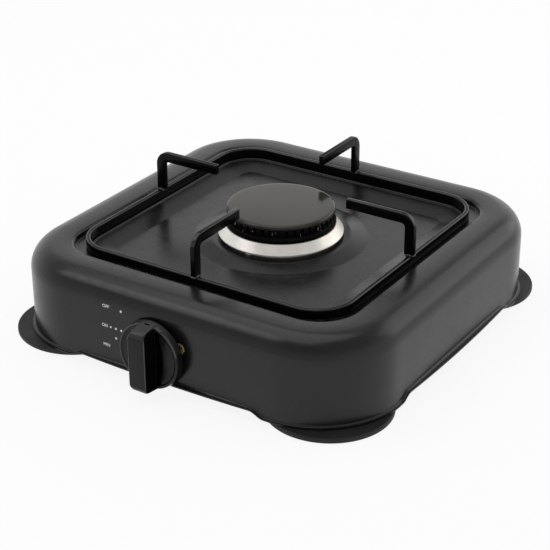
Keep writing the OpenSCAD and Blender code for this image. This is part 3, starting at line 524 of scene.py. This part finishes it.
def weld_beads(turn):
    """Uneven runs of weld where a post stands on the ring."""
    bm = bmesh.new()
    for x, y, z, size in BEADS:
        for v in bmesh.ops.create_icosphere(bm, subdivisions=3, radius=1)["verts"]:
            p = v.co
            wobble = 1 + 0.07 * sin(5 * p.x + turn) + 0.06 * sin(7 * p.y + 2 * x)
            v.co = Vector((x + p.x * size[0] * wobble, y + p.y * size[1] * wobble,
                           z + p.z * size[2] * wobble))
    rotate(bm, bm.verts, radians(turn), "Z")
    return bm


# Lighter, glossier enamel for painted highlights on the support's upper edges.
enamel_edge_highlight = grained("enamel_edge_highlight", (0.011, 0.011, 0.0112), 0.2, spread=0.3, scale=700,
                       height=0.00003, strength=0.2, specular=0.4)


def paint_edge_highlight(obj):
    """Paints a highlight on a piece's upper edges, neither level nor upright: lighter, glossier
    enamel.
    """
    obj.data.materials.append(enamel_edge_highlight)
    for face in obj.data.polygons:
        if 0.25 < face.normal.z < 0.97:
            face.material_index = 1


ARMS = {"front": 270, "right": 0, "back": 90, "left": 180}
paint_edge_highlight(finish_mesh("support_ring", square_ring(), "pan_support", "black_enamel", ["pan_ring"]))
for name, turn in ARMS.items():
    paint_edge_highlight(finish_mesh("support_arm_" + name, arm(turn), "pan_support", "black_enamel",
                    ["pan_arm_" + name]))

# The weld beads are real; their lighter, part-metal grey is a painted highlight for the bright
# spots at the posts' feet.
bead_highlight_metal = grained("weld_bead", (0.05, 0.05, 0.052), 0.22, 0.3, spread=0.3, scale=900,
                     height=0.0002, strength=0.6)
for name, turn in ARMS.items():
    finish_mesh("weld_" + name, weld_beads(turn), "pan_support", "black_enamel",
                material=bead_highlight_metal)


# ------------------------------------------------------------------ burner

def cap():
    """Slightly domed enamel disc with a rolled edge and a rim below."""
    r, low, high = 37.2, 74.0, 77.2
    roll, roll_z, foot = 1.6, high - 1.75, 0.9
    rim_out, rim_in, rim_low = 31.4, 29.5, 70.1
    top = [(0, high), (12, high - 0.02), (24, high - 0.05), (33, high - 0.09),
           (35.2, high - 0.12)]
    edge = [(r - roll + roll * cos(a), roll_z + roll * sin(a))
            for a in [radians(80 - 10 * k) for k in range(9)]]
    edge += [(r - foot + foot * cos(a), low + foot + foot * sin(a))
             for a in [radians(-18 * k) for k in range(6)]]
    under = [(rim_out, low), (rim_out, rim_low), (rim_in, rim_low), (rim_in, low), (0, low)]
    return spin(top + edge + under)


finish_mesh("cap", cap(), "cap", "cap_enamel", ["burner_cap"], 30)


def tooth_point(corner, top, low):
    """Corner of a tooth for a corner of the unit cube: wider outside, tapered upwards."""
    outer, above = corner.x > 0, corner.z > 0
    r = (36.7 if above else 37.3) if outer else 32.1
    half = (1.6 if outer else 1.25) * (0.94 if above else 1.06)
    return Vector((r, half if corner.y > 0 else -half, top if above else low))


def flame_crown():
    """Crown with a rounded foot and a ring of cast teeth between its ports."""
    ports, low, top, foot_z = 42, 65.1, 73.7, 69.2
    r_out, r_top, r_bore, r_skirt, r_inner, skirt_low = 38, 37.25, 32.1, 30.5, 28.7, low - 3.9
    start = (34, low, 0, 0)
    section = fillet([
        start, (r_out, low, 0.5, 0), (r_out, low + 1.7, 0.6, 0), (r_top, foot_z, 0.4, 0),
        (r_bore, foot_z, 0.4, 0), (r_bore, low + 1, 0.3, 0), (r_inner, low + 1, 0.3, 0),
        (r_inner, skirt_low, 0.3, 0), (r_skirt, skirt_low, 0.3, 0), (r_skirt, low, 0.3, 0),
        start], 3)[:-1]
    steps = 4 * ports
    bm = loft(section, [2 * pi * k / steps for k in range(steps)],
              lambda a, p: (p[0] * cos(a), p[0] * sin(a), p[1]))
    for i in range(ports):
        tooth = bmesh.ops.create_cube(bm, size=1)["verts"]
        for v in tooth:
            v.co = tooth_point(v.co, top, foot_z - 1)
        edges = list({e for v in tooth for e in v.link_edges})
        made = bmesh.ops.bevel(bm, geom=edges, offset=0.55, segments=3, profile=0.6,
                               affect="EDGES")
        body = {v for f in made["faces"] for v in f.verts}
        body |= {v for v in tooth if v.is_valid}
        # The teeth's bevels take the painted glints.
        for face in made["faces"]:
            face.material_index = 1
        rotate(bm, list(body), 2 * pi * (i + 0.5) / ports, "Z")
    return bm


def crown_glint_edges():
    """Crown enamel with painted glints: spots of aluminium colour on the teeth's bevelled edges.
    """
    enamel, glint_colour = (0.002, 0.002, 0.002), (0.5, 0.49, 0.47)
    mat, tree, shader = new_material("crown_painted_glints", enamel, 0.3, specular=0.15)
    glint_spots = remap(tree, noise(tree, object_coords(tree), 210, 1.0), 0, 1, 0.63, 0.68)
    tree.links.new(blend_colours(tree, glint_spots, enamel, glint_colour), shader.inputs["Base Color"])
    tree.links.new(glint_spots, shader.inputs["Metallic"])
    return mat


crown = finish_mesh("flame_crown", flame_crown(), "crown", "crown_black", ["burner_crown"], 40)
crown.data.materials.append(crown_glint_edges())


# -------------------------------------------------------------------- knob

def knob_skirt():
    """Tapered round skirt with a crowned face in a raised rim, hollow round its hub."""
    depth = KNOB_BACK - KNOB_FACE
    crown_r, groove_r, groove_z = 11, 20.2, depth - 0.6
    rim_in, rim_out, rim_z = 21, 22.75, depth - 0.2
    hub, hollow, hollow_z = 7, 20.7, 1.6
    section = fillet([
        (0, depth, 0, 0), (crown_r, depth, 10, 0), (groove_r, groove_z, 0.5, 0),
        (rim_in, rim_z, 0.4, 0), (rim_out, rim_z, 0.9, 0), (KNOB_R, 0, 0.5, 0),
        (hollow, 0, 0.4, 0), (hollow, hollow_z, 0.4, 0), (hub, hollow_z, 0.2, 0),
        (hub, 0, 0, 0), (0, 0, 0, 0)])
    bm = spin([row[:2] for row in section])
    rotate(bm, bm.verts, radians(90), "X")
    bmesh.ops.translate(bm, verts=bm.verts, vec=(TAP_X, KNOB_BACK, TAP_Z))
    return bm


def grip_bar():
    """Grip bar with soft edges and rounded ends that run out into the skirt's rim."""
    edge, corner, root, run_out = 0.8, 2.4, 3.0, 1.2
    height = KNOB_FACE + root - GRIP_FACE
    depths = (0, 0.04, 0.13, 0.3, 0.54, 0.8, 1.2, 1.8, 2.5, 3.3, 4.1, 4.9, 5.6, 8, 11, height)
    bm = bmesh.new()
    loops = []
    for h in depths:
        w = GRIP_HALF_W - edge + sqrt(edge ** 2 - max(0, edge - h) ** 2)
        l = GRIP_HALF_L - GRIP_NOSE + sqrt(GRIP_NOSE ** 2 - max(0, GRIP_NOSE - h) ** 2)
        l += run_out * max(0, (h - GRIP_NOSE) / (height - GRIP_NOSE))
        r = corner - edge + min(edge, h)
        loop = []
        for i, (sx, sz) in enumerate(((1, 1), (-1, 1), (-1, -1), (1, -1))):
            for k in range(9):
                a = radians(90 * i + 90 * k / 8)
                loop.append(bm.verts.new((
                    TAP_X + sx * (w - r) + r * cos(a), GRIP_FACE + h,
                    TAP_Z + sz * (l - r) + r * sin(a))))
        loops.append(loop)
    bridge(bm, loops)
    bm.faces.new(list(reversed(loops[0])))
    bm.faces.new(loops[-1])
    return bm


def pocket(side):
    """Cutter for the finger pocket beside the grip bar: a half moon."""
    w, l = POCKET_W, POCKET_HALF_L
    r = (w * w + l * l) / (2 * w)
    reach = atan2(l, r - w)
    angles = [reach * (k / 16 - 1) for k in range(33)]
    arc = [(POCKET_IN + w - r + r * cos(a), r * sin(a)) for a in angles]
    return prism([(TAP_X + side * x, TAP_Z + z) for x, z in arc],
                 KNOB_FACE + POCKET_DEPTH, KNOB_FACE - PROUD)


def notch():
    """Cutter for the pointer: a small triangle in the upper rim."""
    return prism([(TAP_X, TAP_Z + NOTCH_LOW), (TAP_X + NOTCH_HALF_W, TAP_Z + NOTCH_HIGH),
                  (TAP_X - NOTCH_HALF_W, TAP_Z + NOTCH_HIGH)],
                 KNOB_FACE + NOTCH_DEPTH, KNOB_FACE - PROUD)


def knob_finish(face):
    """Material index of a face: 0 plain, 1 painted shade, 2 painted highlight, 3 painted light
    from above.
    """
    c = face.center / MM - Vector((TAP_X, AXIS_Y, TAP_Z))
    n = face.normal
    from_axis = hypot(c.x, c.z)
    grip_edge = GRIP_FACE + 0.6
    # Painted shade on the grip bar's sides, and on the floors and walls of the pockets beside it.
    wall = abs(c.x) > 5.4 and abs(n.x) > 0.6 and grip_edge < c.y < KNOB_FACE
    in_pocket = (KNOB_FACE + 0.5 < c.y < KNOB_FACE + POCKET_DEPTH + 0.1
                 and 6.4 < abs(c.x) < 12 and abs(c.z) < POCKET_HALF_L + 0.1)
    if wall or in_pocket:
        return 1
    # Painted highlight on the long edges of the grip's face, and on the skirt's rim except at its
    # lower right.
    rounded = c.y < grip_edge and abs(n.x) > 0.3 and n.y > -0.95
    rim = (from_axis > 21.9 and KNOB_FACE - 0.1 < c.y < KNOB_FACE + 0.9 and n.y < -0.2
           and c.z - 0.6 * c.x > -8)
    if rounded or rim:
        return 2
    # Painted light from above on the skirt's outside and the grip's upper nose, where they face
    # up.
    upper = n.z > 0.3 and (from_axis > 22 or c.z > 10 and c.y < GRIP_FACE + GRIP_NOSE)
    return 3 if upper else 0


knob = finish_mesh("control_knob_body", knob_skirt(), "control_knob", "knob_plastic", ["knob"])
cut(knob, [grip_bar()], "UNION")
cut(knob, [
    pocket(1), pocket(-1), notch(),
    cutter(BORE_R, BORE_L, (TAP_X, BORE_Y, TAP_Z), 48),
])
for extra in (
        # Painted shade for the grip's sides and the pockets.
        grained("knob_painted_shade", (0.0028, 0.0028, 0.0029), 0.4, spread=0.2, scale=800,
                height=0.00003, strength=0.15, specular=0.0),
        # Painted highlight for the grip's long edges and the skirt's rim.
        grained("knob_painted_highlight", (0.042, 0.041, 0.043), 0.24, spread=0.25, scale=500,
                height=0.00002, strength=0.1, specular=0.4),
        # Painted light from above on faces that face up.
        grained("knob_painted_top_light", (0.02, 0.0195, 0.02), 0.28, spread=0.2, scale=600,
                height=0.00002, strength=0.12, specular=0.3)):
    knob.data.materials.append(extra)
for face in knob.data.polygons:
    face.material_index = knob_finish(face)


# -------------------------------------------------------------- tap spring

def coil():
    """Round wire wound with closed turns at both ends, along the tap's axis."""
    wire, radius, front, rear = 0.5, 5.4, -132.1, -123.6
    turns, closed, tight, steps, sides = 4.5, 0.75, 1.06, 40, 12
    pitch = (rear - front - 2 * closed * tight) / (turns - 2 * closed)
    bm = bmesh.new()
    rings = []
    for i in range(round(turns * steps) + 1):
        t = i / steps
        middle = min(max(t - closed, 0), turns - 2 * closed)
        y = front + middle * pitch + (t - middle) * tight
        ring = []
        for k in range(sides):
            b = 2 * pi * k / sides
            r = radius + wire * cos(b)
            ring.append(bm.verts.new((TAP_X + r * cos(2 * pi * t), y + wire * sin(b),
                                      TAP_Z + r * sin(2 * pi * t))))
        rings.append(ring)
    bridge(bm, rings)
    bm.faces.new(rings[0])
    bm.faces.new(list(reversed(rings[-1])))
    return bm


# The knob's spindle, pushed in by PUSH, presses the spring against the plug's face.
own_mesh(finish_mesh("tap_coil", coil(), "plug", "spring_steel", ["tap_spring"]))


# ------------------------------------------------------------ panel's marks

MARK_Y = -HALF - 0.02            # just in front of the panel
LETTER_HEIGHT, CAPITAL_SHARE = 2.15, 0.7
WORDS = (("off", "OFF", -44.5, 47.6), ("on", "ON", -46.0, 33.4), ("min", "MIN", -45.3, 19.3))
DOTS = ((-32.4, 47.1, 0.85), (-41.3, 33.3, 0.72), (-37.1, 33.2, 0.78), (-32.8, 33.1, 0.85),
        (-37.3, 26.2, 0.8))      # x, z, radius


def panel_white():
    """Printed white, very slightly uneven."""
    mat, tree, shader = new_material("panel_white", (0.82, 0.82, 0.82), 0.5)
    cloud = remap(tree, noise(tree, object_coords(tree), 900, 2.0), 0, 1)
    tree.links.new(blend_colours(tree, cloud, (0.74, 0.74, 0.74), (0.86, 0.86, 0.86)),
                   shader.inputs["Base Color"])
    return mat


def word(name, text, x, z):
    """Generic lettering on the front panel, as a thin mesh."""
    curve = bpy.data.curves.new(name, "FONT")
    curve.body = text
    curve.size = LETTER_HEIGHT * MM / CAPITAL_SHARE
    curve.align_x, curve.align_y = "CENTER", "CENTER"
    curve.extrude, curve.offset = 0.00003, 0.00004
    source = add_object(name, curve)
    graph = bpy.context.evaluated_depsgraph_get()
    mesh = bpy.data.meshes.new_from_object(source.evaluated_get(graph))
    bpy.data.objects.remove(source)
    mesh.transform(Matrix.Rotation(radians(90), 4, "X"))
    mesh.transform(Matrix.Translation((x * MM, (MARK_Y + AXIS_Y) * MM, z * MM)))
    mesh.materials.clear()
    mesh.materials.append(white)
    obj = add_object("mark_" + name, mesh)
    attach(obj, "base")


def dots():
    """Flat discs between the words and the knob."""
    bm = bmesh.new()
    for x, z, r in DOTS:
        disc = bmesh.ops.create_cone(bm, cap_ends=True, segments=28, radius1=r,
                                     radius2=r * 0.94, depth=0.06)["verts"]
        rotate(bm, disc, radians(90), "X")
        bmesh.ops.translate(bm, verts=disc, vec=(x, MARK_Y, z))
    return bm


white = panel_white()
for mark in WORDS:
    word(*mark)
finish_mesh("mark_dots", dots(), "base", "shell_paint", material=white)


# --------------------------------------------- materials of the CAD's pieces

slots = {s["node"]: s["material_slot"] for s in frame["record"]["subparts"]}
for node, obj in frame["nodes"].items():
    obj.data.materials.clear()
    obj.data.materials.append(MATERIALS[slots[node]])


# ------------------------------------------------------ floor, light, camera

def background_rays(tree):
    """1 for the rays that show the background: camera, glossy and transmission."""
    path = add_node(tree, "ShaderNodeLightPath").outputs
    value = path["Is Camera Ray"]
    for ray in ("Is Glossy Ray", "Is Transmission Ray"):
        value = add_node(tree, "ShaderNodeMath", links={0: value, 1: path[ray]},
                         operation="MAXIMUM").outputs[0]
    return value


def studio_floor():
    """Nearly white floor, just below the feet, that keeps only a share of its shadows."""
    half, drop, glow_share = 8.0, 0.0002, 0.88
    mesh = bpy.data.meshes.new("floor")
    mesh.from_pydata([(-half, -half, 0), (half, -half, 0), (half, half, 0), (-half, half, 0)],
                     [], [(0, 1, 2, 3)])
    mat, tree, shader = new_material("floor", (0.93, 0.93, 0.93), 0.9)
    glow = add_node(tree, "ShaderNodeEmission", {"Strength": 1.0})
    share = add_node(tree, "ShaderNodeMath", {1: glow_share}, {0: background_rays(tree)},
                     operation="MULTIPLY")
    mix = add_node(tree, "ShaderNodeMixShader", links={
        0: share.outputs[0], 1: shader.outputs[0], 2: glow.outputs[0]})
    tree.links.new(mix.outputs[0], tree.nodes["Material Output"].inputs["Surface"])
    mesh.materials.append(mat)
    obj = add_object("floor", mesh)
    obj.location.z = -drop
    return obj


def studio_world():
    """White round the horizon and grey overhead, a little weaker towards the front."""
    world = bpy.data.worlds.new("studio")
    world.use_nodes = True
    tree = world.node_tree
    tree.nodes.clear()
    direction = add_node(tree, "ShaderNodeTexCoord").outputs["Generated"]
    towards = add_node(tree, "ShaderNodeSeparateXYZ", links={0: direction}).outputs
    ramp = add_node(tree, "ShaderNodeValToRGB", links={0: towards["Z"]})
    ramp.color_ramp.interpolation = "EASE"
    low, high = ramp.color_ramp.elements
    low.position, low.color = 0.18, (1, 1, 1, 1)
    high.position, high.color = 0.78, (0.48, 0.48, 0.485, 1)
    sky = add_node(tree, "ShaderNodeBackground", links={
        "Color": ramp.outputs["Color"],
        "Strength": remap(tree, towards["Y"], 0.72, 1.0, -0.9, 0.1)})
    add_node(tree, "ShaderNodeOutputWorld", links={"Surface": sky.outputs[0]})
    return world


def softbox(name, position, target, size, power, tint):
    lamp = bpy.data.lights.new(name, "AREA")
    lamp.shape = "RECTANGLE"
    lamp.size, lamp.size_y = size
    lamp.energy = power
    lamp.color = tint
    obj = add_object(name, lamp)
    obj.location = position
    obj.rotation_euler = (Vector(target) - Vector(position)).to_track_quat("-Z", "Y").to_euler()


floor = studio_floor()
bpy.context.scene.world = studio_world()
for light in (
        ("top_light", (-0.3, 0.05, 1.4), (0, 0, 0.03), (1.3, 1.3), 6.5, (1, 1, 1)),
        ("front_light", (-0.72, -0.55, 1.05), (0, 0, 0.03), (0.5, 0.5), 1.7, (1, 0.95, 1)),
        ("back_light", (-0.5, 0.85, 0.32), (0, 0, 0.2), (0.95, 0.42), 0.3, (1, 0.97, 0.93)),
        ("side_light", (0.58, 0.92, 0.58), (0, 0, 0.05), (0.9, 0.8), 2.2, (1, 0.98, 0.95))):
    softbox(*light)

bpy.context.scene.view_settings.view_transform = "Standard"

# Camera: angles in degrees, and its place from a point on the burner axis, along its own
# axes. Solved from the photograph, then set to its silhouette.
LENS, SENSOR = 105.2, 36
AZIMUTH, ELEVATION, ROLL = 33.049, 26.869, -0.245
TARGET_Z, DISTANCE, SHIFT_RIGHT, SHIFT_UP = 0.0655, 1.0985, -0.004, -0.0377

camera_data = bpy.data.cameras.new("camera")
camera_data.sensor_width, camera_data.lens, camera_data.clip_end = SENSOR, LENS, 20
camera = add_object("camera", camera_data)
bpy.context.scene.camera = camera
azimuth, elevation, roll = radians(AZIMUTH), radians(ELEVATION), radians(ROLL)
back = Vector((sin(azimuth) * cos(elevation), -cos(azimuth) * cos(elevation), sin(elevation)))
right = Vector((cos(azimuth), sin(azimuth), 0))
up = back.cross(right)
side_axis = right * cos(roll) + up * sin(roll)
up_axis = up * cos(roll) - right * sin(roll)
place = (Vector((0, AXIS_Y * MM, TARGET_Z)) + back * DISTANCE
         + side_axis * SHIFT_RIGHT + up_axis * SHIFT_UP)
camera.matrix_world = Matrix((
    (side_axis.x, up_axis.x, back.x, place.x),
    (side_axis.y, up_axis.y, back.y, place.y),
    (side_axis.z, up_axis.z, back.z, place.z),
    (0, 0, 0, 1)))
